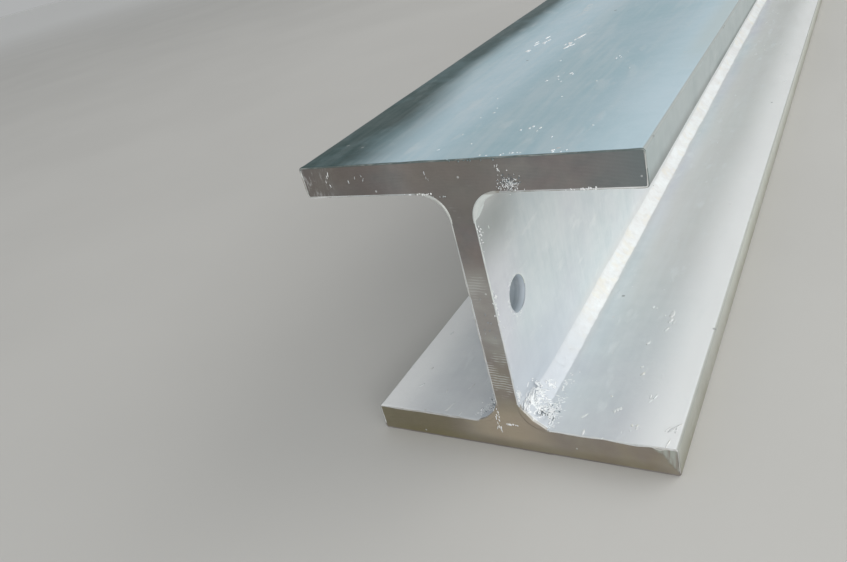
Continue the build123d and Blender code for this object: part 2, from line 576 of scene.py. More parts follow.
def make_fill_mesh(coat, side, above, end, share, seed):
    """Zinc held in a root at one end like a drop in a corner. At the end it reaches a share of the way from
    the arc to its chord, which lies r(1 - cos 45/cos(a - 45)) off the steel at angle a, and along the beam
    it thins as exp(-(distance/reach)^2). Its front is flat, and sawn on a bottom root."""
    first = coat.slack + 0.6 * coat.end_recess
    distance = first + FILL_REACH * np.linspace(0, 1, FILL_STEPS)[:, None] ** FILL_CROWDING
    angle = np.linspace(-FILL_OVERLAP, QUARTER + FILL_OVERLAP, FILL_ACROSS_STEPS)
    gap = beam.root * np.clip(1 - math.cos(QUARTER / 2) / np.cos(angle - QUARTER / 2), -0.02, None)
    fade = np.exp(-((distance - first) / FILL_FADE) ** 2)
    ripple = 1 + waves(rows(angle * beam.root, distance, 0), seed, FILL_RIPPLES)
    depth = share * gap * fade * ripple - coat.slack - FILL_SINK * (1 - fade)
    front = FILL_DEPTH + (depth[:1] - FILL_DEPTH) * np.linspace(0, 1, FRONT_STEPS + 1)[:-1, None]
    depth = np.concatenate([front, depth, np.full_like(depth[:1], FILL_DEPTH)])
    y = end * (beam.half_length - np.r_[[distance[0]] * FRONT_STEPS, distance, distance[-1:]])
    places = np.broadcast_to(angle * beam.root, depth.shape)
    grid = root_grid(places, depth, FILL_DEPTH, y, side, above)
    patches = Patches()
    patches.add(grid[:FRONT_STEPS + 1], slot=0 if above else 1)
    patches.add(grid[FRONT_STEPS:])
    return patches.mesh(weld=ROOT_WELD)


# Lumps of zinc, in clusters whose lengths are in millimetres

POLE_WELD = 0.0001 * MM
LUMP_RINGS, LUMP_SIDES = 5, 7
LUMP_ROUGHNESS = 0.22
CRUST_SEED, END_SEED, FLECK_SEED = 41, 77, 19
# Least and greatest length, width and height
NEEDLE_SIZES, GRAIN_SIZES = ((0.7, 0.24, 0.6), (2.1, 0.42, 1.1)), ((0.3, 0.3, 0.2), (0.9, 0.6, 0.4))
LEAST_DISTANCE = 1.2 * MM
# Least value and spread of the coarse grains' distance from the end and place across the root
GRAIN_DISTANCE, GRAIN_PLACE = (3, 19), (20, 3.5)
# Rise and fall of a run across the root, for the grains that lie on it
SWELL_RISE, SWELL_FALL = (-4 * MM, 4 * MM), (14 * MM, 18 * MM)
# Side, end and share of the needles in each bottom root
ROOT_ENDS = ((1, -1, 1.0), (-1, -1, 0.35), (1, 1, 0.5), (-1, 1, 0.5))

# Name, middle and spread as distance from the end and place across the root, angle and its spread in
# degrees, share of the needles, height, material
ROOT_CLUSTERS = (
    ("curl up the run", (38, 11.5), (1.6, 2.2), (20, 60), 0.05, 0.3, 0),
    ("comb across the run", (25, 8), (3.0, 3.6), (44, 10), 0.17, 0.26, 0),
    ("upright strokes", (13.5, 5.5), (3.4, 3.0), (-36, 11), 0.22, 0.28, 0),
    ("strokes at the end's edge", (5.5, 4), (2.2, 3.0), (-20, 25), 0.10, 0.24, 0),
    ("strokes in the middle", (14, 11.5), (4.5, 2.6), (5, 40), 0.14, 0.28, 0),
    ("tangle on the flange's side", (15, 19.5), (5.0, 2.2), (10, 60), 0.26, 0.6, 0),
    # Dark grains that paint shade in the gaps of the tangle.
    ("dross in the tangle", (14.5, 19.8), (4.4, 2.0), (10, 60), 0.07, 0.4, 1),
    ("specks up the flange's side", (45, 20.5), (3.0, 1.0), (0, 60), 0.02, 0.3, 0),
    ("crumbs on the web's end", (3.5, -6.0), (1.5, 2.6), (60, 30), 0.06, 0.2, 0),
)

# Name, middle and spread as x and height, count, length and width, material
END_CLUSTERS = (
    ("patch right of the web", (31.5, 181), (2.8, 2.0), 170, (0.36, 0.18), 0),
    # Dark grains that paint shade in the gaps of the patch.
    ("dross in the patch", (31, 181.5), (2.7, 1.9), 80, (0.36, 0.2), 1),
    ("tail of the patch", (26.5, 190), (0.5, 2.0), 7, (0.9, 0.14), 0),
    ("row over the left root", (-11.5, 175.2), (3.4, 0.2), 5, (0.5, 0.45), 2),
    ("row under the left bottom root", (-3, 19.8), (3.4, 0.3), 13, (0.7, 0.4), 0),
    ("drips under that row", (-8.5, 15.2), (0.8, 1.6), 7, (1.5, 0.28), 0),
    ("curl at the left bottom root", (-9.5, 25.5), (1.2, 2.6), 14, (0.9, 0.3), 0),
    ("crumbs at the web's right edge", (8.6, 152), (0.9, 3.4), 18, (0.6, 0.3), 0),
    ("lower crumbs at the web's right edge", (8.0, 108), (0.8, 6.5), 24, (0.7, 0.3), 0),
    ("strokes on the web", (0.5, 96), (2.6, 9), 12, (0.8, 0.17), 2),
    ("crumbs on the top flange's lower edge", (70, 176.9), (4.0, 0.35), 18, (0.6, 0.4), 0),
    ("crumbs on the top flange's upper edge", (12, 194.6), (9, 0.3), 10, (0.6, 0.35), 2),
    ("strokes at the left", (-82, 186), (3.0, 2.4), 4, (1.5, 0.17), 2),
    ("strokes on the left", (-60, 187), (5.5, 1.8), 4, (1.2, 0.14), 2),
    ("strokes over the web", (-15, 187), (2.0, 1.6), 3, (1.1, 0.15), 2),
    ("lip under the left flange", (-24, 176.6), (4.5, 0.25), 16, (0.6, 0.35), 0),
)

# Name, whether on the top face or else on the bottom flange, middle and spread as x and distance from the
# end, count, length and width
MARKS = (
    ("left strokes", True, (-37, 229), (2.8, 14.0), 9, (3.6, 0.9)),
    ("strokes beside them", True, (-7, 224), (2.6, 12.0), 8, (4.4, 1.0)),
    ("lone mark", True, (44, 161), (0.8, 3.0), 3, (1.6, 0.6)),
    ("small group", True, (16, 132), (4.0, 5.0), 8, (1.3, 0.6)),
    ("specks near the end", True, (28, 37), (4.5, 2.0), 3, (0.9, 0.6)),
    ("row at the end's edge", True, (52, 3.5), (15, 1.0), 12, (0.7, 0.45)),
    ("knot near the end", False, (59, 27), (1.5, 1.6), 5, (1.3, 0.8)),
    ("rings at the end", False, (73, 13), (2.2, 1.2), 6, (1.1, 0.6)),
    ("slanted stroke", False, (76, 42), (0.9, 4.0), 5, (2.2, 0.6)),
    ("long stroke", False, (69, 124), (1.6, 7.0), 7, (3.4, 1.0)),
    ("mark inside it", False, (55, 143), (1.2, 3.0), 3, (1.8, 1.0)),
    ("soft stroke", False, (64, 67), (1.2, 3.2), 4, (1.8, 0.9)),
    ("curl at the corner", False, (94, 17), (1.4, 1.8), 6, (1.0, 0.4)),
)

# Name, reach as a share of the half width or, on the web, of the depth, and greatest length and width
FLECK_FACES = (
    ("top", (-0.3, 0.8), (2.6, 0.6)),
    ("right", (0.3, 0.95), (6.0, 1.1)),
    ("left", (-0.95, -0.3), (6.0, 1.1)),
    ("web", (0.25, 0.8), (2.6, 0.6)),
)
MARK_SINK, MARK_SPREAD, MARK_DISTANCE = 0.25 * MM, (0.5, 1.3), 1.5 * MM
END_SPREAD, END_HEIGHT = (0.6, 1.3), 0.45
HOLE_MARKS, HOLE_MARK_SIZE = 26, (0.8, 0.28, 0.22)
FLECK_CROWDING, FLECK_HEIGHT = 1.6, 0.25
WHITE_SHARE, WHITE_SCALE = 0.2, 0.6


def unit_ball():
    """A ball's points on rings from pole to pole, each ring at even angles, and its faces."""
    tilt = np.linspace(0, math.pi, LUMP_RINGS + 1)[:, None]
    turn = turns(LUMP_SIDES)
    ball = rows(np.sin(tilt) * np.cos(turn), np.sin(tilt) * np.sin(turn), np.cos(tilt))
    return ball.reshape(-1, 3), grid_faces(*ball.shape[:2], wrap_columns=True).reshape(-1, 4)


def lumps(patches, rng, centres, normals, headings, sizes, slot=0):
    """Balls squashed to sizes (along the heading, across it, and out of the surface), set on the surface at
    centres and roughened by pushing each point but the poles in or out a little."""
    ball, faces = unit_ball()
    normals = np.broadcast_to(np.asarray(normals, float), centres.shape)
    headings = headings - normals * np.sum(headings * normals, axis=1)[:, None]
    headings = headings / np.linalg.norm(headings, axis=1)[:, None]
    bumpy = 1 + LUMP_ROUGHNESS * rng.uniform(-1, 1, (len(centres), len(ball), 1))
    bumpy[:, :LUMP_SIDES] = bumpy[:, -LUMP_SIDES:] = 1
    axes = np.stack([headings, np.cross(normals, headings), normals], axis=1)
    points = np.einsum("nki,nij->nkj", ball * bumpy * sizes[:, None], axes)
    patches.add_many(centres[:, None] + points, faces, slot)


def scattered(rng, count, centre, spread):
    """Two columns of places normally spread about a centre, each with its own spread."""
    return (np.array(centre) + rng.normal(0, 1, (count, 2)) * np.array(spread)).T * MM


def add_root_grains(patches, rng, side, end, distance, places, lift, turn, sizes, slot=0):
    """Grains on a bottom root at those distances from an end and places across the root, lifted off the
    steel by lift. turn is the angle from the beam's inward direction towards the flange's edge."""
    flat, normal = root_path(places)
    flat = flat + normal * lift[:, None]
    centres = rows(side * flat[:, 0], end * (beam.half_length - distance), flat[:, 1])
    normals = rows(side * normal[:, 0], 0, normal[:, 1])
    headings = rows(side * normal[:, 1] * np.sin(turn), -end * np.cos(turn), -normal[:, 0] * np.sin(turn))
    lumps(patches, rng, centres, normals, headings, sizes, slot)


def make_root_crust_mesh(coat):
    """White needles and grains of zinc that froze in the bottom roots at each end, in clusters that follow
    the swell of the run. Coarse grains lie along the run's edge."""
    rng = np.random.default_rng(CRUST_SEED)
    patches = Patches()
    for side, end, amount in ROOT_ENDS:
        for _, middle, spread, (angle, angle_spread), share, height, slot in ROOT_CLUSTERS:
            count = int(coat.needles * amount * share)
            distance, places = scattered(rng, count, middle, spread)
            distance = np.abs(distance - LEAST_DISTANCE) + LEAST_DISTANCE
            swell = coat.end_fill * amount * np.exp(-((distance / coat.fill_reach) ** 2)) + coat.run_height
            inside = smooth_step(*SWELL_RISE, places) * (1 - smooth_step(*SWELL_FALL, places))
            lift = swell * inside - coat.slack + 0.05 * MM
            turn = np.radians(rng.normal(angle, angle_spread, count))
            sizes = rng.uniform(*NEEDLE_SIZES, (count, 3)) * [1, 1, height] * MM
            add_root_grains(patches, rng, side, end, distance, places, lift, turn, sizes, slot)
        count = int(coat.grains * amount)
        distance, places = ((least + np.abs(rng.normal(0, spread, count))) * MM
                            for least, spread in (GRAIN_DISTANCE, GRAIN_PLACE))
        sizes = rng.uniform(*GRAIN_SIZES, (count, 3)) * MM
        turn = rng.normal(0.9, 0.5, count)
        add_root_grains(patches, rng, side, end, distance, places, np.full(count, -coat.slack), turn, sizes)
    return patches.mesh(weld=POLE_WELD, boxed=True)


def make_end_crust_mesh(coat):
    """Grains, strokes and drips of zinc on the sawn faces. Long ones stand nearly upright."""
    rng = np.random.default_rng(END_SEED)
    patches = Patches()
    for end in (-1, 1):
        y = end * (beam.half_length - coat.slack - coat.end_recess)
        for _, middle, spread, count, (length, width), slot in END_CLUSTERS:
            x, z = scattered(rng, count, middle, spread)
            headings = rows(rng.normal(0, 0.25 if length > 3 * width else 1.0, count), 0, 1)
            sizes = rng.uniform(*END_SPREAD, (count, 1)) * MM * [length, width, END_HEIGHT]
            lumps(patches, rng, rows(x, y, z), (0, end, 0), headings, sizes, slot)
    return patches.mesh(weld=POLE_WELD, boxed=True)


def add_marks(patches, rng, end):
    """Groups of marks near an end: white on the top face, plain zinc on the bottom flange."""
    for _, on_top, middle, spread, count, (length, width) in MARKS:
        x, distance = scattered(rng, count, middle, spread)
        y = end * (beam.half_length - np.abs(distance - MARK_DISTANCE) - MARK_DISTANCE)
        centres = rows(x, y, (beam.depth if on_top else beam.flange) - MARK_SINK)
        headings = rows(rng.normal(0.1, 0.25, count), -end, 0)
        sizes = rng.uniform(*MARK_SPREAD, (count, 1)) * [length, width, 0.3 if on_top else 0.2] * MM
        lumps(patches, rng, centres, (0, 0, 1), headings, sizes, int(on_top))


def add_hole_marks(patches, rng, side, end):
    """Short white marks round a web hole's mouth, most of them below it and towards the end."""
    turn = np.radians(rng.normal(200, 60, HOLE_MARKS))
    radius = beam.hole_radius + rng.uniform(1.2, 3.4, HOLE_MARKS) * MM
    inward, up = np.cos(turn), np.sin(turn)
    y = end * (beam.half_length - beam.hole_inset - radius * inward)
    centres = rows(side * (beam.web_half - MARK_SINK), y, beam.hole_height + radius * up)
    sizes = rng.uniform(*MARK_SPREAD, (HOLE_MARKS, 1)) * HOLE_MARK_SIZE * MM
    lumps(patches, rng, centres, (side, 0, 0), rows(0, end * up, inward), sizes, 1)


def make_fleck_mesh(coat):
    """Splashes and short dribbles of zinc on the flanges' upper faces and on the web, along the whole beam,
    with groups of marks near the ends and round the web holes."""
    rng = np.random.default_rng(FLECK_SEED)
    patches = Patches()
    level = coat.slack * 0.9
    count = coat.flecks
    for name, reach, (longest, widest) in FLECK_FACES:
        y = -beam.half_length + beam.half_length * 2 * rng.uniform(0, 1, count) ** FLECK_CROWDING
        if name == "web":
            face = rng.choice([-1.0, 1.0], count)
            centres = rows(face * (beam.web_half - level), y, rng.uniform(*reach, count) * beam.depth)
            normals = rows(face, 0, 0)
            headings = rows(0, rng.normal(0, 0.4, count), 1)
        else:
            height = beam.depth if name == "top" else beam.flange
            centres = rows(rng.uniform(*reach, count) * beam.half_width, y, height - level)
            normals = rows(0 * y, 0, 1)
            headings = rows(rng.normal(0.35, 0.3, count), 1, 0)
        length = rng.uniform(0.5, longest, count) * rng.uniform(0.3, 1, count)
        sizes = rows(length, rng.uniform(0.3, widest, count), FLECK_HEIGHT) * MM
        white = rng.uniform(0, 1, count) < WHITE_SHARE
        for slot, some, scale in ((0, ~white, 1), (1, white, WHITE_SCALE)):
            lumps(patches, rng, centres[some], normals[some], headings[some], sizes[some] * scale, slot)
    for end in (-1, 1):
        add_marks(patches, rng, end)
        for side in (-1, 1):
            add_hole_marks(patches, rng, side, end)
    return patches.mesh(weld=POLE_WELD, boxed=True)


# Shader trees

def reckon(operation, swap=False):
    """A method that adds a Math node with that operation, with the field itself last where swap is set."""
    def method(self, *others):
        return self.tree.math(operation, *((*others, self) if swap else (self, *others)))
    return method


class Field:
    """One output of a node: a number, colour or vector over the surface. Sums, products and the like of
    fields and numbers add Math nodes, and a | b is the greater one."""

    __add__ = __radd__ = reckon("ADD")
    __mul__ = __rmul__ = reckon("MULTIPLY")
    __sub__, __rsub__ = reckon("SUBTRACT"), reckon("SUBTRACT", swap=True)
    __gt__, __lt__ = reckon("GREATER_THAN"), reckon("LESS_THAN")
    __or__, __abs__ = reckon("MAXIMUM"), reckon("ABSOLUTE")

    def __init__(self, tree, socket):
        self.tree, self.socket = tree, socket

    def ramp(self, low, high, to_low=0.0, to_high=1.0):
        """Passes low..high to to_low..to_high on an S curve, and holds it outside."""
        inputs = {0: self, 1: low, 2: high, 3: to_low, 4: to_high}
        return self.tree.node("ShaderNodeMapRange", inputs, interpolation_type="SMOOTHSTEP", clamp=True)

    def ramp_mm(self, low, high, to_low=0.0, to_high=1.0):
        """The same for a length, with low and high in millimetres."""
        return self.ramp(low * MM, high * MM, to_low, to_high)

    def capped_sum(self, other):
        """The sum, held to 0..1."""
        return self.tree.math("ADD", self, other, clamp=True)

    def blend(self, first, second):
        """Mixes two numbers. The field is the share of the second."""
        return self.tree.node("ShaderNodeMix", {0: self, 2: first, 3: second}, data_type="FLOAT")

    def mix(self, first, second):
        """Mixes two colours in the same way, each of them a field or three numbers."""
        first, second = (part if isinstance(part, Field) else (*part, 1) for part in (first, second))
        return self.tree.node("ShaderNodeMix", {0: self, 6: first, 7: second}, output=2, data_type="RGBA")

    def parts(self):
        """The x, y and z of a vector."""
        split = self.tree.node("ShaderNodeSeparateXYZ", {0: self}, output=None)
        return [Field(self.tree, socket) for socket in split.outputs]

    def stretched(self, *scale):
        """The vector scaled along each axis. A small scale draws a pattern out along its axis."""
        return self.tree.node("ShaderNodeMapping", {"Vector": self, "Scale": scale})

    def noise(self, scale, detail=3.0, roughness=0.55):
        inputs = {"Vector": self, "Scale": scale, "Detail": detail, "Roughness": roughness}
        return self.tree.node("ShaderNodeTexNoise", inputs)

    def use(self, group, output=0, **values):
        """An output of the shared group, which reads the field as its Vector."""
        inputs = {"Vector": self, **values}
        return self.tree.node("ShaderNodeGroup", inputs, output, node_tree=shared_group(group))


class Tree:
    """Adds nodes to a shader tree. Inputs are given by name or number, as a value or a field."""

    def __init__(self, tree):
        self.tree = tree

    def node(self, kind, inputs=(), output=0, **settings):
        made = self.tree.nodes.new(kind)
        for name, value in settings.items():
            setattr(made, name, value)
        for key, value in dict(inputs).items():
            if isinstance(value, Field):
                self.tree.links.new(value.socket, made.inputs[key])
            else:
                made.inputs[key].default_value = value
        return made if output is None else Field(self, made.outputs[output])

    def math(self, operation, *values, clamp=False):
        return self.node("ShaderNodeMath", dict(enumerate(values)), operation=operation, use_clamp=clamp)


def paint(colour, *layers):
    """The colour under layers of other colours, each given with the share that it covers."""
    for share, layer in layers:
        colour = share.mix(colour, layer)
    return colour


def zinc_clouds(vector, scale):
    """Soft patches in a zinc coat: the lighter and darker cloud, and the slower drift of its colour."""
    tone = vector.noise(scale, 4.0, 0.6) * 0.7 + vector.noise(scale * 5.5, 3.0, 0.6) * 0.3
    shifted = vector.tree.node("ShaderNodeVectorMath", {0: vector, 1: (3.1, 7.7, 1.9)}, operation="ADD")
    return tone.ramp(0.32, 0.68), shifted.noise(scale * 0.55, 2.0, 0.5).ramp(0.35, 0.65)


def zinc_streaks(vector, scale):
    """Streaks where zinc drained off: noise drawn out along the axis that the vector was scaled down on."""
    both = vector.noise(scale) * 0.65 + vector.noise(scale * 4.0, 2.0, 0.5) * 0.35
    return both.ramp(0.4, 0.66), both


def specks(vector, scale, amount, size):
    """Small round marks in a share, amount, of the cells. size is their radius as a share of the cell."""
    cell = vector.tree.node("ShaderNodeTexVoronoi", {"Vector": vector, "Scale": scale}, output=None)
    distance, colour = (Field(vector.tree, cell.outputs[name]) for name in ("Distance", "Color"))
    chosen = vector.tree.node("ShaderNodeSeparateColor", {0: colour})
    return [distance.ramp(size, size * 1.6, 1.0, 0.0) * (chosen < amount)]


def fine_grain(vector, scale):
    """The fine unevenness of a dipped or sawn surface, as a height about one half."""
    return [vector.noise(scale, 4.0, 0.65) * 0.35 + vector.noise(scale * 0.16, 2.0, 0.5) * 0.65]


def saw_arcs(vector, scale):
    """Marks of a round saw: rings about the vector's own origin, broken up by noise."""
    inputs = {"Vector": vector, "Scale": scale, "Distortion": 2.2, "Detail": 3.0}
    rings = vector.tree.node("ShaderNodeTexWave", inputs, output=1, wave_type="RINGS", rings_direction="Y")
    return rings.ramp(0.55, 0.95) * vector.noise(90.0, 3.0, 0.6).ramp(0.42, 0.6), rings


# Maker, outputs, and inputs beside the Vector
GROUPS = {
    "zinc_clouds": (zinc_clouds, ("Tone", "Tint"), {"Scale": 18.0}),
    "zinc_streaks": (zinc_streaks, ("Streak", "Height"), {"Scale": 60.0}),
    "specks": (specks, ("Speck",), {"Scale": 90.0, "Amount": 0.1, "Size": 0.2}),
    "fine_grain": (fine_grain, ("Height",), {"Scale": 700.0}),
    "saw_arcs": (saw_arcs, ("Mark", "Height"), {"Scale": 420.0}),
}


def shared_group(name):
    """The named shader node group, made on its first use."""
    if name in bpy.data.node_groups:
        return bpy.data.node_groups[name]
    make, outputs, defaults = GROUPS[name]
    group = bpy.data.node_groups.new(name, "ShaderNodeTree")
    group.interface.new_socket(name="Vector", in_out="INPUT", socket_type="NodeSocketVector")
    for socket, default in defaults.items():
        made = group.interface.new_socket(name=socket, in_out="INPUT", socket_type="NodeSocketFloat")
        made.default_value = default
    for socket in outputs:
        group.interface.new_socket(name=socket, in_out="OUTPUT", socket_type="NodeSocketFloat")
    tree = Tree(group)
    given = group.nodes.new("NodeGroupInput").outputs
    fields = make(*(Field(tree, given[socket]) for socket in ("Vector", *defaults)))
    tree.node("NodeGroupOutput", zip(outputs, fields), output=None)
    return group


# Materials. Each maker gives colour, roughness, metallic, height, and the bump's strength and distance

def coat_masks(place):
    """Where a point of the skin lies, each as 0 to 1. upper and under: on the upper half, and under the top
    flange's outer half. on_top, sideways, tip, toe: on the top face, facing sideways, on a flange's tip, on
    its rounded toe. arris and low_arris: on the top and bottom edge of a sawn end. bore, groove, depth: in
    a web hole, its turned grooves and how deep. left: towards a flange's left edge, where the top face gets
    a painted reflection of shade. crest and rightwards: a band left of the middle and towards the right edge,
    where the top face's painted sky reflection is lighter. outwards: towards a flange's outer edges, where
    the flanges are painted lighter as painted light. nook and chill: on the web near an end, under the top
    root, where shade is painted, and over the bottom one. drab: on the bottom flange's middle. far: away from
    the ends. brow: on the top face's right edge, away from the ends. rise is the height up a tip."""
    x, y, z = place.parts()
    normal_x, normal_y, _ = place.tree.node("ShaderNodeNewGeometry", output="Normal").parts()
    out, lean, from_end = abs(x), abs(normal_x), beam.half_length - abs(y)
    turned = abs(normal_y).ramp(0.2, 0.7)
    sideways = lean.ramp(0.05, 0.6)
    outer = out > 0.9 * beam.half_width
    upper = z > beam.middle
    under = z < beam.depth - 0.5 * beam.flange
    far = from_end.ramp_mm(60, 260)
    in_hole = abs(z - beam.hole_height) < 1.3 * beam.hole_radius
    across = place.tree.node("ShaderNodeCombineXYZ", {0: x})
    wander = (place.noise(9.0, 2.0, 0.5) - 0.5) * (30 * MM)
    left_start = from_end.ramp_mm(10, 200, -20 * MM, -60 * MM)
    left_full = from_end.ramp_mm(120, 250, -83 * MM, -87 * MM)
    return SimpleNamespace(
        upper=upper,
        under=under,
        far=far,
        sideways=sideways,
        on_top=z.ramp(beam.depth - 1.3 * beam.toe, beam.depth - 0.6 * beam.toe),
        tip=sideways * outer,
        toe=lean.ramp(0.1, 0.45) * lean.ramp(0.995, 0.9) * outer,
        arris=turned * (z > beam.depth - beam.toe),
        low_arris=turned * (z < 2 * beam.toe),
        rise=z - upper * (beam.depth - beam.flange),
        bore=out.ramp(beam.web_half - 0.3 * MM, beam.web_half - 0.9 * MM) * in_hole,
        depth=out.ramp(beam.web_half - 1.5 * MM, 0.2 * beam.web_half),
        groove=across.noise(700.0, 2.0, 0.5).ramp(0.42, 0.58),
        # left: where the top face gets a painted reflection of shade along its left edge, wider near the
        # ends.
        left=(x + wander * 0.4).ramp(left_start, left_full),
        # crest and rightwards: where the top face's painted sky reflection is lighter, in a band left of the
        # middle and towards the right edge.
        reflection_band=x.ramp_mm(-66, -40) * x.ramp_mm(10, -22),
        reflection_right=x.ramp(0.3 * beam.half_width, beam.half_width) * far.blend(0.55, 0.38),
        brow=x.ramp_mm(80, 94) * from_end.ramp_mm(100, 190),
        # outwards: towards a flange's outer edges, where the flanges are painted lighter as painted light.
        outwards=out.ramp(0.55 * beam.half_width, 0.94 * beam.half_width),
        drab=(out + wander * 0.6).ramp_mm(20, 36) * far.blend(0.2, 1.0),
        # nook: painted shade on the web under the top root near an end.
        nook=z.ramp_mm(120, 152) * from_end.ramp_mm(72, 20) * out.ramp_mm(42, 10) * under,
        chill=z.ramp_mm(84, 50) * from_end.ramp_mm(140, 30) * out.ramp_mm(20, 10),
    )


def tip_colour(mask, tone, coat):
    """Colour of the flanges' tips. A bottom tip pales upwards, more so away from the ends. A top tip is
    painted darker along its lower edge, as painted shade under the toe, darkest away from the ends."""
    high = mask.far.mix(coat.tip, coat.tip_light)
    bottom = mask.rise.ramp(-0.2 * beam.flange, 1.1 * beam.flange).mix(coat.tip_low, high)
    low = mask.far.mix(coat.low_tip, coat.line)
    reach = mask.far.blend(8.5 * MM, 5 * MM)
    top = mask.rise.ramp(1.5 * MM, reach).mix(low, coat.high_tip)
    return paint(bottom, (mask.upper, top), (tone * 0.15, coat.light))


def near_end(place):
    """1 in a bottom root near an end, but not on the lip at the end itself, and 0 away from there."""
    x, y, z = place.parts()
    from_end = beam.half_length - abs(y)
    beside_root = abs(x).ramp(beam.web_half + 2.2 * beam.root, beam.web_half + 1.6 * beam.root)
    return from_end.ramp_mm(150, 45) * from_end.ramp_mm(1.5, 4) * (beside_root * (z < beam.middle))


def zinc_coat(place, coat):
    """The dipped skin: satin zinc with soft clouds and drain streaks, a painted teal reflection of the sky on
    the face that looks up with a painted reflection of shade along its left edge, flange edges painted
    lighter as painted light, bright roots, duller tips, toes painted darker as painted shade, web holes with
    a painted highlight at their mouths and painted shade inside, painted shade on the web under the top root
    near an end, and a few bright specks and pits."""
    mask = coat_masks(place)
    off_tip = 1.0 - mask.tip
    # plain is lower on the painted reflection of shade on the top face and on the flanges' painted light
    # outer parts, where streaks and marks are weaker.
    plain = 1.0 - (mask.left * mask.on_top | mask.outwards) * 0.75
    tone = place.use("zinc_clouds", Scale=16.0)
    tint = place.use("zinc_clouds", "Tint", Scale=13.0)
    down = place.stretched(1.0, 1.0, 0.12)
    drained = down.use("zinc_streaks", Scale=70.0)
    drawn = place.stretched(1.0, 0.1, 1.0).use("zinc_streaks", Scale=55.0)
    streak = mask.sideways.blend(drawn, drained) * off_tip * plain
    splash = place.stretched(1.0, 0.35, 1.0).noise(95.0).ramp(0.57, 0.72)
    splash = splash * mask.on_top.blend(0.9, 0.4) * plain
    speck = place.use("specks", Scale=70.0, Amount=0.02, Size=0.06) * plain * off_tip
    pit = place.stretched(1.3, 1.3, 1.3).use("specks", Scale=55.0, Amount=0.03, Size=0.07)
    pit = pit | place.use("specks", Scale=150.0, Amount=0.2, Size=0.2) * (mask.toe * mask.upper)
    turned = place.tree.node("ShaderNodeMapping", {"Vector": place, "Rotation": (0.0, 0.0, -0.12)})
    smear = turned.stretched(1.0, 0.16, 0.4).use("specks", Scale=40.0, Amount=0.22, Size=0.09)
    smear = smear * place.noise(260.0, 3.0, 0.6).ramp(0.4, 0.62) * plain
    root = place.tree.node("ShaderNodeAttribute", output="Fac", attribute_name="root")
    # The face that looks up gets a painted reflection of the sky: teal, lighter with the clouds, in a band
    # left of the middle and towards the right edge.
    reflection_lightening = (tone * 0.3 + mask.reflection_right + mask.far * 0.1).capped_sum(mask.reflection_band * 0.48)
    # A painted reflection of shade: dark along the top face's left edge, darkest near the ends.
    reflected_shade_share = mask.left.capped_sum((tone - 0.5) * (mask.left * 0.3))
    reflected_shade_colour = mask.far.mix(coat.sky_deep, coat.sky_dark)
    top = reflection_lightening.mix(coat.sky, coat.sky_light)
    lower_toe = mask.upper * mask.under
    toe_share = lower_toe.blend(mask.upper.blend(0.6, 0.55), 0.9)
    colour = paint(
        tint.mix(coat.cool, coat.warm),
        (tone * 0.45, coat.light),
        (mask.drab * 0.75, coat.drab),
        # Painted light: the flanges towards their outer edges are painted near white, as if lit more.
        (mask.outwards * 0.95, coat.edge),
        (mask.on_top, paint(top, (reflected_shade_share, reflected_shade_colour), (mask.brow * 0.8, coat.brow))),
        (mask.tip, tip_colour(mask, tone, coat)),
        # The rounded toes are painted darker, as painted shade that damps their highlight; the top flange's
        # lower toes get the dark line colour, as painted shadow under the toe.
        (mask.toe * toe_share, lower_toe.mix(coat.toe, coat.line)),
        # Web holes: a painted highlight at their mouths and painted shade deeper inside.
        (mask.bore * mask.groove.blend(1.0, 0.7), mask.depth.mix(coat.bore, coat.deep_bore)),
        (streak * 0.2, coat.light),
        (splash * 0.5, coat.light),
        # Painted shade on the web under the top root near an end.
        (mask.nook * 0.75, coat.nook),
        (mask.chill * 0.75, coat.frost),
        (root * 0.85, near_end(place).mix(coat.run, coat.frost)),
        (mask.arris * 0.9, coat.line),
        (mask.low_arris * 0.9, coat.sawn_brown),
        (speck * 0.8, coat.run),
        (pit * 0.6, coat.pit),
        (smear * 0.7, coat.light),
    )
    height = place.use("fine_grain", Scale=650.0) + down.use("zinc_streaks", "Height", Scale=70.0) * 0.5
    height = height + splash * 1.2 + (speck + smear) * 0.8 - pit * 1.2
    rough = tone.blend(coat.rough + 0.06, coat.rough - 0.06)
    return colour, rough, mask.outwards.blend(coat.metal, 0.45 * coat.metal), height, 0.35, 0.6 * MM


def sawn_marks(place, x, z):
    """Bright marks on the sawn face: saw arcs low on the web, fine upright scratches that thicken to frost
    at the top flange's left tip, and pin-prick grains. Returns their strength and the height of the
    arcs."""
    saw_centre = place.tree.node("ShaderNodeMapping", {"Vector": place, "Location": (0.02, 0.0, 0.42)})
    low = z.ramp_mm(38, 46) * z.ramp_mm(82, 66)
    patch = place.noise(45.0, 2.0, 0.5).ramp(0.55, 0.62) * z.ramp_mm(38, 46, 0.0, 0.4)
    arcs = saw_centre.use("saw_arcs", Scale=170.0) * abs(x).ramp(1.5 * beam.web_half, beam.web_half)
    arcs = arcs * low.capped_sum(patch)
    scratch = place.stretched(1.0, 1.0, 0.16).use("specks", Scale=240.0, Amount=0.035, Size=0.13)
    frost = place.stretched(1.0, 1.0, 0.3).noise(620.0, 3.0, 0.6).ramp(0.5, 0.7)
    frost = frost * (x.ramp_mm(-70, -98) * z.ramp(beam.middle, beam.depth))
    grains = place.use("specks", Scale=300.0, Amount=0.02, Size=0.15)
    bright = arcs * 0.55 | scratch * 0.4 | frost * 0.35 | grains * 0.5
    return bright, saw_centre.use("saw_arcs", "Height", Scale=170.0)


def corner_film(place, x, z):
    """A film of zinc that sagged over the bottom flange's right corner: right of a slanted, ragged line,
    with upright folds. Returns its share and its folds."""
    ragged = (place.noise(160.0, 3.0, 0.6) - 0.5) * (9 * MM)
    line = x - (beam.half_width - 15 * MM) + ragged - (beam.flange - z) * 0.85
    folds = place.stretched(1.0, 1.0, 0.12).noise(700.0, 1.0, 0.4)
    return line.ramp_mm(-1.6, 1.6) * (z < beam.middle), folds


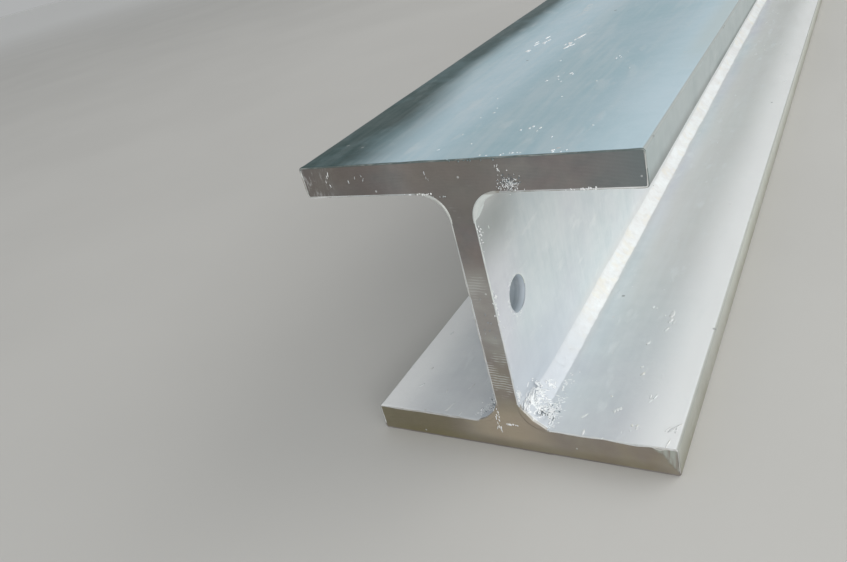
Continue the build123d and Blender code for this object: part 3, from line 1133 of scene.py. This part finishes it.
def sawn_end(place, coat):
    """The sawn face under a thin grey-brown film, with blotches of olive, mauve and grey."""
    x, _, z = place.parts()
    out = abs(x)
    blotch = place.use("zinc_clouds", Scale=26.0)
    drift = place.use("zinc_clouds", "Tint", Scale=60.0)
    rosy = place.stretched(1.0, 1.0, 1.6).use("zinc_clouds", "Tint", Scale=75.0)
    right = x.ramp_mm(-20, 70) * z.ramp_mm(60, 170)
    low = z.ramp_mm(130, 20) * x.ramp_mm(-80, 10, 0.4, 1.0)
    middle = z.ramp_mm(145, 110) * z.ramp_mm(58, 96)
    on_bottom, on_top = z.ramp_mm(40, 22), z.ramp(beam.depth - 40 * MM, beam.depth - 22 * MM)
    bottom_left = on_bottom * x.ramp_mm(-18, -56)
    bottom_heart = on_bottom * z.ramp_mm(3, 11) * abs(x + 4 * MM).ramp_mm(40, 10)
    bottom_foot = z.ramp_mm(9, 2) * out.ramp(beam.half_width, 80 * MM)
    web_head = z.ramp_mm(146, 168) * out.ramp_mm(36, 12)
    film, folds = corner_film(place, x, z)
    bright, arc_height = sawn_marks(place, x, z)
    colour = paint(
        drift.mix(coat.sawn_brown, coat.sawn_grey),
        (right * 0.7, coat.sawn_grey),
        (low * 0.75, coat.sawn_olive),
        (middle * 0.9, coat.sawn_mid),
        (blotch * 0.45, coat.sawn_light),
        (rosy * 0.45, coat.sawn_mauve),
        (bottom_left * 0.6, coat.sawn_umber),
        (bottom_heart * 0.55, coat.sawn_sand),
        (bottom_foot * 0.35, coat.sawn_umber),
        (web_head * 0.45, coat.sawn_dark),
        (on_top * x.ramp_mm(-30, -62) * 0.4, coat.sawn_dark),
        (on_top * out.ramp_mm(50, 20) * 0.2, coat.sawn_light),
        (on_top * x.ramp_mm(62, 100) * 0.6, coat.sawn_cool),
        (film * 0.85, folds.ramp(0.3, 0.6).mix(coat.sawn_light, coat.film)),
        (bright, coat.light),
    )
    height = place.use("fine_grain", Scale=900.0) + arc_height * 0.2 + bright * 0.6 + film * (folds + 0.6)
    return colour, blotch.blend(0.6, 0.44), coat.sawn_metal, height, 0.5, 0.5 * MM


def bright_zinc(place, coat):
    """Zinc that ran and froze: smoother and brighter than the coat, with a curdled surface. Where it lies
    on an outer edge of the section it is as dull as the sawn face beside it."""
    x, y, z = place.parts()
    out = abs(x)
    under_top_flange = beam.depth - beam.flange
    at_end = abs(y) > beam.half_length - 2.5 * MM
    tone = place.use("zinc_clouds", Scale=60.0)
    pit = place.use("specks", Scale=120.0, Amount=0.012, Size=0.10)
    cells = {"Vector": place, "Scale": 230.0}
    curd = place.tree.node("ShaderNodeTexVoronoi", cells, "Distance", feature="SMOOTH_F1")
    cream = place.noise(48.0, 3.0, 0.6).ramp(0.5, 0.68) * z.ramp(beam.middle, 0.3 * beam.depth, 0.0, 0.48)
    patchy = place.noise(90.0, 3.0, 0.6).ramp(0.36, 0.6, 1.0, 0.55)
    leftwards = (x < -0.5 * beam.web_half) * 0.6
    beside = out.ramp(beam.half_width - 4 * MM, beam.half_width - 2 * MM) * 0.85
    low_root = (out < beam.web_half + 1.1 * beam.root) * (z < beam.flange + 1.1 * beam.root)
    on_top_flange = z.ramp(under_top_flange - 1 * MM, under_top_flange + 0.5 * MM)
    dull = ((leftwards | beside) | (low_root | on_top_flange)) * at_end
    over = z.ramp(beam.depth - 4 * MM, beam.depth - 2 * MM) * at_end
    colour = paint(
        tone.mix(coat.run, coat.light),
        (cream, coat.cream),
        (near_end(place) * 0.85, coat.frost),
        ((z > beam.middle) * 0.5, coat.mint),
        (dull * patchy, coat.sawn_light),
        (over * patchy, coat.line),
        (z.ramp_mm(4, 1.5) * at_end * 0.9, coat.sawn_brown),
        (pit * 0.7, coat.pit),
    )
    height = curd * 0.9 + place.use("fine_grain", Scale=500.0) - pit
    rough = tone.blend(coat.rough - 0.02, coat.rough + 0.1)
    return colour, rough, coat.metal - 0.25, height, 0.45, 0.8 * MM


def white_crust(place, coat):
    """Frozen grains and needles of zinc: near white, with a fine sparkle in their roughness."""
    tone = place.noise(420.0, 2.0, 0.6)
    colour = tone.ramp(0.3, 0.7).mix(coat.light, coat.needle)
    return colour, tone.blend(0.2, 0.55), 0.2, place.use("fine_grain", Scale=900.0), 0.4, 0.4 * MM


def dross(place, coat):
    """Dark grains set among the crust's needles and grains, which paint the shade in the gaps between them.
    """
    tone = place.noise(500.0, 2.0, 0.6)
    colour = tone.ramp(0.3, 0.7).mix(coat.dross, coat.pit)
    return colour, tone.blend(0.35, 0.6), 0.3, place.use("fine_grain", Scale=900.0), 0.4, 0.4 * MM


def floor(place, stage):
    """The plain matt floor, which pales in the distance."""
    tone = place.noise(2.2, 3.0, 0.5)
    distance = place.tree.node("ShaderNodeVectorMath", {0: place}, output="Value", operation="LENGTH")
    colour = paint(
        tone.ramp(0.3, 0.7).mix([part * 0.96 for part in stage.floor], stage.floor),
        (distance.ramp(3.0, 14.0), stage.far_floor),
    )
    return colour, tone.blend(0.75, 0.65), 0.0, place.use("fine_grain", Scale=260.0), 0.05, 1 * MM


MATERIALS = {make.__name__: make for make in (zinc_coat, sawn_end, bright_zinc, white_crust, dross, floor)}


def get_material(name, settings):
    """The named material, made on its first use, with its height passed through a bump."""
    if name in bpy.data.materials:
        return bpy.data.materials[name]
    material = bpy.data.materials.new(name)
    material.use_nodes = True
    material.node_tree.nodes.clear()
    tree = Tree(material.node_tree)
    place = tree.node("ShaderNodeTexCoord", output="Object")
    colour, rough, metallic, height, strength, distance = MATERIALS[name](place, settings)
    bump = tree.node("ShaderNodeBump", {"Height": height, "Strength": strength, "Distance": distance})
    inputs = {"Base Color": colour, "Roughness": rough, "Metallic": metallic, "Normal": bump}
    surface = tree.node("ShaderNodeBsdfPrincipled", inputs)
    tree.node("ShaderNodeOutputMaterial", {"Surface": surface}, output=None)
    return material


# Settings

# What each colour is on, and the colour
COAT_COLOURS = {
    "cool": ("Zinc where the coat drifts to green and blue", (0.64, 0.71, 0.735)),
    "warm": ("Zinc where the coat drifts to lavender", (0.69, 0.70, 0.75)),
    "light": ("Lighter clouds and streaks", (0.84, 0.875, 0.885)),
    # sky and sky_light: a painted reflection of the sky on the face that looks up.
    "sky": ("The face that looks up", (0.42, 0.59, 0.655)),
    "sky_light": ("Lighter clouds on the face that looks up", (0.68, 0.84, 0.93)),
    # sky_dark and sky_deep: a painted reflection of shade along the left edge of the face that looks up.
    "sky_dark": ("Left edge of the face that looks up", (0.032, 0.078, 0.08)),
    "sky_deep": ("The same edge near the ends", (0.01, 0.051, 0.049)),
    "brow": ("Right edge of the face that looks up, away from the ends", (0.60, 0.71, 0.73)),
    "tip": ("The bottom flange's tips near an end", (0.43, 0.44, 0.40)),
    "tip_light": ("Upper edge of the bottom flange's tips", (0.60, 0.625, 0.57)),
    "tip_low": ("Lower edge of the bottom flange's tips", (0.26, 0.25, 0.19)),
    # low_tip: painted shade along the lower edge of the top flange's tips.
    "low_tip": ("Lower edge of the top flange's tips", (0.235, 0.265, 0.265)),
    "high_tip": ("The top flange's tips", (0.385, 0.445, 0.45)),
    # line: on the top flange's lower edges and tips a painted shadow under the toe; on the top edge of a sawn
    # end and of its bead a dark line.
    "line": ("Top edge of a sawn end, and the top flange's lower edges", (0.13, 0.165, 0.16)),
    # toe: darker, painted shade that damps the highlight on the rounded toes.
    "toe": ("The rounded edges of the flanges", (0.30, 0.315, 0.30)),
    "film": ("Film of zinc over the sawn corner", (0.50, 0.54, 0.50)),
    "mint": ("Zinc pooled in the top roots", (0.82, 0.89, 0.86)),
    "run": ("Zinc that ran together and froze", (0.75, 0.755, 0.75)),
    "cream": ("Warmer patches in the zinc that ran", (0.79, 0.755, 0.655)),
    "frost": ("Zinc in a bottom root near an end", (0.60, 0.64, 0.69)),
    # nook: painted shade, not a colour of the zinc.
    "nook": ("Web under the top root near an end", (0.40, 0.43, 0.42)),
    "drab": ("Middle of the bottom flange, away from the ends", (0.75, 0.755, 0.725)),
    # edge: near white, painted light on the flanges' outer parts.
    "edge": ("The bottom flange towards its outer edges", (0.97, 0.98, 0.98)),
    # bore and deep_bore: a painted highlight at the holes' mouths and painted shade inside them.
    "bore": ("Mouths of the web holes", (0.86, 0.93, 1.0)),
    "deep_bore": ("Inside of the web holes", (0.355, 0.405, 0.45)),
    "needle": ("Frozen needles and grains", (0.95, 0.96, 0.97)),
    # dross: dark grains that paint shade between the needles.
    "dross": ("Dark grains in the crust", (0.19, 0.235, 0.275)),
    "pit": ("Bottom of a pit in the coat", (0.20, 0.22, 0.22)),
    "sawn_brown": ("Brown film on the sawn face", (0.215, 0.183, 0.165)),
    "sawn_grey": ("Grey film on the sawn face", (0.182, 0.184, 0.186)),
    "sawn_mauve": ("Mauve blotches on the sawn face", (0.25, 0.21, 0.207)),
    "sawn_light": ("Lighter blotches on the sawn face", (0.36, 0.34, 0.305)),
    "sawn_olive": ("Olive film low on the sawn face", (0.37, 0.325, 0.235)),
    "sawn_mid": ("Middle of the sawn web", (0.50, 0.51, 0.485)),
    "sawn_dark": ("Top of the sawn web and left of the sawn top flange", (0.10, 0.095, 0.085)),
    "sawn_cool": ("Right of the sawn top flange", (0.15, 0.212, 0.23)),
    "sawn_umber": ("Left of the sawn bottom flange", (0.20, 0.175, 0.08)),
    "sawn_sand": ("Middle of the sawn bottom flange", (0.53, 0.45, 0.34)),
}

COAT_SHARES = {
    "metal": ("How metallic the coat is", 0.6),
    "sawn_metal": ("How metallic the sawn face is", 0.35),
    "rough": ("Roughness of the coat", 0.48),
}

COAT_LENGTHS_MM = {
    "slack": ("How far the coat's mean level lies inside the steel's nominal face", 0.3),
    "end_recess": ("How much deeper the sawn faces lie", 0.5),
    "wave": ("Height of the coat's slow waves", 0.16),
    "lip": ("Height of the lumps beside each arris", 0.3),
    "lip_radius": ("Radius of the bead along each arris", 0.55),
    "run_height": ("Thickness of the zinc run in a bottom root", 0.85),
    "end_fill": ("Extra thickness of the right run at the near end", 2.0),
    "fill_reach": ("How far from the end a root stays filled", 26),
}

COAT_COUNTS = {
    "needles": ("Needles in the fullest root", 460),
    "grains": ("Grains beside the fullest root", 110),
    "flecks": ("Splashes on each face", 70),
}

STAGE_COLOURS = {
    "floor": ("The plain floor", (0.62, 0.61, 0.585)),
    "far_floor": ("The floor in the distance, where it meets the air", (0.80, 0.80, 0.79)),
    "air": ("Light from all round", (0.80, 0.815, 0.82)),
}


CAMERA_PLACE = (0.1857, -1.8050, 0.3137)
CAMERA_TURN = [math.radians(turn) for turn in (62.176, 13.969, 28.603)]


def properties(kind, table, scale=None, **options):
    """A property of that kind for each row of a table of descriptions and defaults."""
    return {key: kind(name=key.replace("_", " ").capitalize(), description=description,
                      default=default * scale if scale else default, **options)
            for key, (description, default) in table.items()}


class BeamCoat(bpy.types.PropertyGroup):
    """Colours and heights of the zinc and the sawn ends."""

    __annotations__ = {
        **properties(FloatVectorProperty, COAT_COLOURS, subtype="COLOR", min=0, max=1),
        **properties(FloatProperty, COAT_SHARES, min=0, max=1),
        **properties(FloatProperty, COAT_LENGTHS_MM, scale=MM, subtype="DISTANCE", unit="LENGTH"),
        **properties(IntProperty, COAT_COUNTS, min=0),
    }


class BeamStage(bpy.types.PropertyGroup):
    """Camera, light and floor."""

    __annotations__ = properties(FloatVectorProperty, STAGE_COLOURS, subtype="COLOR", min=0, max=1)
    camera_place: FloatVectorProperty(name="Camera", description="Where the camera stands",
                                      subtype="TRANSLATION", unit="LENGTH", default=CAMERA_PLACE)
    camera_turn: FloatVectorProperty(name="Camera turn", description="Its turn about X, Y and Z",
                                     subtype="EULER", unit="ROTATION", default=CAMERA_TURN)
    lens: FloatProperty(name="Lens", description="Focal length on a 36 mm wide picture",
                        default=30.97, min=1)
    air_power: FloatProperty(name="Air power", description="Strength of the light from all round",
                             default=0.63, min=0)


# Operators

class BEAM_OT_skin(bpy.types.Operator):
    """Build the dipped skin of the whole beam, in place of the plain solid"""

    bl_idname = "beam.skin"
    bl_label = "Zinc skin"

    def execute(self, context):
        skin = place_piece("zinc_skin", make_skin_mesh(context.scene.beam_coat), "zinc_coat", "sawn_end")
        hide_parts(NODE)
        return {"FINISHED"}


class BEAM_OT_lips(bpy.types.Operator):
    """Lay the uneven bead of zinc along the arris of each sawn end"""

    bl_idname = "beam.lips"
    bl_label = "Zinc lips"

    def execute(self, context):
        coat = context.scene.beam_coat
        for name, end, seed in (("near", -1, 11), ("far", 1, 23)):
            place_piece("lip_" + name, make_end_lip_mesh(end, coat, seed), "bright_zinc")
            place_piece("sag_" + name, make_sag_mesh(end, coat, seed), "bright_zinc")
        place_piece("lip_holes", make_hole_lip_mesh(coat), "bright_zinc")
        return {"FINISHED"}


# Name, side, seed, and fill at the near and far end as shares of the end fill
RUNS = (("run_right", 1, 31, 1, 0.5), ("run_left", -1, 37, 0.3, 0.4))

# Name, side, whether in a top root, end and share of the root that is filled
FILLS = (
    ("top_right_near", 1, True, -1, 0.46),
    ("top_left_near", -1, True, -1, 0.2),
    ("bottom_right_near", 1, False, -1, 0.75),
    ("bottom_left_near", -1, False, -1, 0.45),
    ("top_right_far", 1, True, 1, 0.5),
    ("top_left_far", -1, True, 1, 0.3),
    ("bottom_right_far", 1, False, 1, 0.6),
    ("bottom_left_far", -1, False, 1, 0.5),
)
FILL_SEED = 61


class BEAM_OT_runs(bpy.types.Operator):
    """Lay the zinc that ran together in the bottom roots and pooled in the top ones"""

    bl_idname = "beam.runs"
    bl_label = "Root runs"

    def execute(self, context):
        coat = context.scene.beam_coat
        for name, side, seed, near, far in RUNS:
            mesh = make_run_mesh(coat, side, seed, near * coat.end_fill, far * coat.end_fill)
            place_piece(name, mesh, "bright_zinc")
        for seed, (name, side, above, end, share) in enumerate(FILLS, FILL_SEED):
            mesh = make_fill_mesh(coat, side, above, end, share, seed)
            place_piece("fill_" + name, mesh, "bright_zinc", "sawn_end")
        return {"FINISHED"}


class BEAM_OT_crust(bpy.types.Operator):
    """Scatter the frozen needles, grains and splashes of zinc"""

    bl_idname = "beam.crust"
    bl_label = "Zinc crust"

    def execute(self, context):
        coat = context.scene.beam_coat
        place_piece("root_crust", make_root_crust_mesh(coat), "white_crust", "dross")
        place_piece("end_crust", make_end_crust_mesh(coat), "white_crust", "dross", "zinc_coat")
        place_piece("zinc_flecks", make_fleck_mesh(coat), "bright_zinc", "white_crust")
        return {"FINISHED"}


# Name, place, target, size, power and colour
LAMPS = (
    ("window", (2.9, 1.2, 2.6), (0, -0.9, 0.1), (4.5, 3.5), 88, (1.0, 0.985, 0.96)),
    ("side_fill", (3.2, -1.8, 1.4), (0, -1.2, 0.1), (2.5, 2.0), 11, (0.95, 0.98, 1.0)),
    ("low_fill", (1.5, -3.1, 0.85), (0, -1.4, 0.1), (1.6, 0.6), 19.5, (1.0, 0.99, 0.97)),
)
FLOOR_RINGS, FLOOR_SIDES = np.array([0.0, 1.0, 4.0, 12.0, 40.0, 150.0])[:, None], 48
SENSOR_WIDTH_MM = 36
NEAREST, FARTHEST = 0.01, 200


def place_object(name, data):
    placed = bpy.data.objects.new(name, data)
    bpy.context.scene.collection.objects.link(placed)
    return placed


class BEAM_OT_stage(bpy.types.Operator):
    """Set the plain floor, the soft light and the camera"""

    bl_idname = "beam.stage"
    bl_label = "Stage"

    def execute(self, context):
        stage = context.scene.beam_stage
        self.set_floor(stage)
        self.set_air(context.scene, stage)
        for lamp in LAMPS:
            self.set_lamp(*lamp)
        data = bpy.data.cameras.new("camera")
        data.sensor_width = SENSOR_WIDTH_MM
        data.lens = stage.lens
        data.clip_start, data.clip_end = NEAREST, FARTHEST
        camera = place_object("camera", data)
        camera.location = stage.camera_place
        camera.rotation_euler = stage.camera_turn
        context.scene.camera = camera
        context.scene.view_settings.view_transform = "Standard"
        return {"FINISHED"}

    def set_lamp(self, name, place, target, size, power, colour):
        """A soft rectangular lamp at place, turned to face target."""
        data = bpy.data.lights.new(name, "AREA")
        data.shape = "RECTANGLE"
        data.size, data.size_y = size
        data.energy = power
        data.color = colour
        lamp = place_object(name, data)
        lamp.location = place
        lamp.rotation_euler = (Vector(target) - Vector(place)).to_track_quat("-Z", "Y").to_euler()

    def set_floor(self, stage):
        """A large flat disc, as rings of points round its middle."""
        turn = turns(FLOOR_SIDES)
        patches = Patches()
        patches.add(rows(FLOOR_RINGS * np.cos(turn), FLOOR_RINGS * np.sin(turn), 0))
        mesh = patches.mesh(weld=MM)
        mesh.name = "floor"
        if mesh.polygons[0].normal.z < 0:
            mesh.flip_normals()
        mesh.materials.append(get_material("floor", stage))
        place_object("floor", mesh)

    def set_air(self, scene, stage):
        """Even light from all round, a little stronger from overhead."""
        world = bpy.data.worlds.new("air")
        world.use_nodes = True
        world.node_tree.nodes.clear()
        tree = Tree(world.node_tree)
        height = tree.node("ShaderNodeTexCoord", output="Generated").parts()[2]
        colour = height.ramp(-0.1, 0.9).mix([part * 0.85 for part in stage.air], stage.air)
        light = tree.node("ShaderNodeBackground", {"Color": colour, "Strength": stage.air_power})
        tree.node("ShaderNodeOutputWorld", {"Surface": light}, output=None)
        scene.world = world


STEPS = (BEAM_OT_skin, BEAM_OT_lips, BEAM_OT_runs, BEAM_OT_crust, BEAM_OT_stage)


class BEAM_PT_panel(bpy.types.Panel):
    """Lists the beam's pieces and settings"""

    bl_label = "Galvanised beam"
    bl_idname = "BEAM_PT_panel"
    bl_space_type = "VIEW_3D"
    bl_region_type = "UI"
    bl_category = "Beam"

    def draw(self, context):
        for step in STEPS:
            self.layout.operator(step.bl_idname)
        for group in (context.scene.beam_coat, context.scene.beam_stage):
            for name in group.__annotations__:
                self.layout.prop(group, name)


CLASSES = (BeamCoat, BeamStage, *STEPS, BEAM_PT_panel)


def register():
    for made in CLASSES:
        bpy.utils.register_class(made)
    bpy.types.Scene.beam_coat = PointerProperty(type=BeamCoat)
    bpy.types.Scene.beam_stage = PointerProperty(type=BeamStage)


def unregister():
    del bpy.types.Scene.beam_stage
    del bpy.types.Scene.beam_coat
    for made in reversed(CLASSES):
        bpy.utils.unregister_class(made)


def main():
    register()
    for step in STEPS:
        group, name = step.bl_idname.split(".")
        getattr(getattr(bpy.ops, group), name)()


if __name__ == "__main__":
    main()
